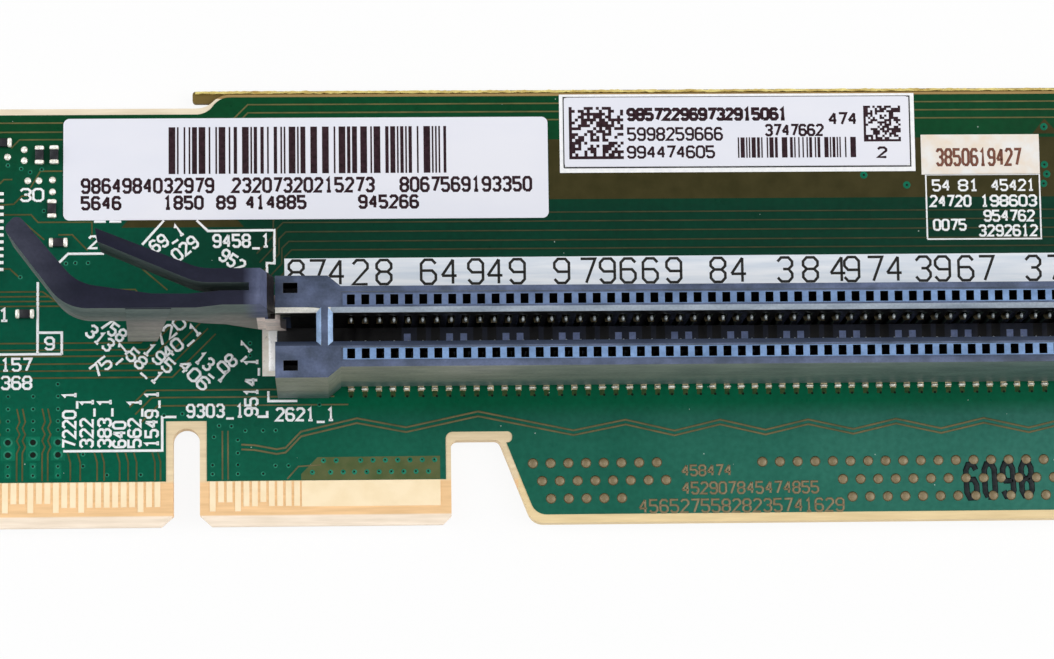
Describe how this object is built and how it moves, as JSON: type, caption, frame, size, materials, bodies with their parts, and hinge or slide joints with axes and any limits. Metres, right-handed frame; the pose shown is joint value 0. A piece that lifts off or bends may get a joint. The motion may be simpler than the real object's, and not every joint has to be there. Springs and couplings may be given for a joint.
{
  "type": "server riser card",
  "caption": "Server riser card lying on its back: notched gold-fingered tongue, long vertical card slot and a swinging card latch.",
  "frame": {"origin": "under the middle of the board, on its back face", "axes": "+X along the board away from the latch end, +Y from the tongue to the top edge, +Z out of the component face"},
  "size_m": [0.145, 0.0316, 0.0176],
  "materials": {
    "board": "bare glass laminate, cream at its cut edges",
    "mask": "dark green solder mask, semi-gloss",
    "gold": "pale gold plate",
    "slot_nylon": "moulded, dark blue-grey",
    "contact_metal": "plated spring metal",
    "tinned_steel": "tinned",
    "latch_nylon": "moulded, dark violet-grey",
    "mould_compound": "black moulding compound",
    "ceramic": "black-glazed ceramic",
    "solder": "reflowed solder",
    "label_film": "white printed film"
  },
  "bodies": {
    "riser": {"circuit_board": "board", "solder_mask_front": "mask", "solder_mask_back": "mask", "edge_fingers_front": "gold", "edge_fingers_back": "gold", "power_pad_front": "gold", "power_pad_back": "gold", "slot_housing": "slot_nylon", "slot_contacts_upper": "contact_metal", "slot_contacts_lower": "contact_metal", "slot_hold_down_left": "tinned_steel", "slot_hold_down_right": "tinned_steel", "controller_body": "mould_compound", "controller_leads": "tinned_steel", "chip_resistor_bodies": "ceramic", "chip_resistor_terminals": "solder", "large_label": "label_film", "small_label": "label_film"},
    "latch": {"card_latch": "latch_nylon"}
  },
  "joints": [
    {"name": "latch_swing", "type": "hinge", "parent": "riser", "child": "latch", "pos_m": [-0.02705, -0.00055, 0.0016], "axis": [0, 0, -1], "range_deg": [0, 20]}
  ]
}
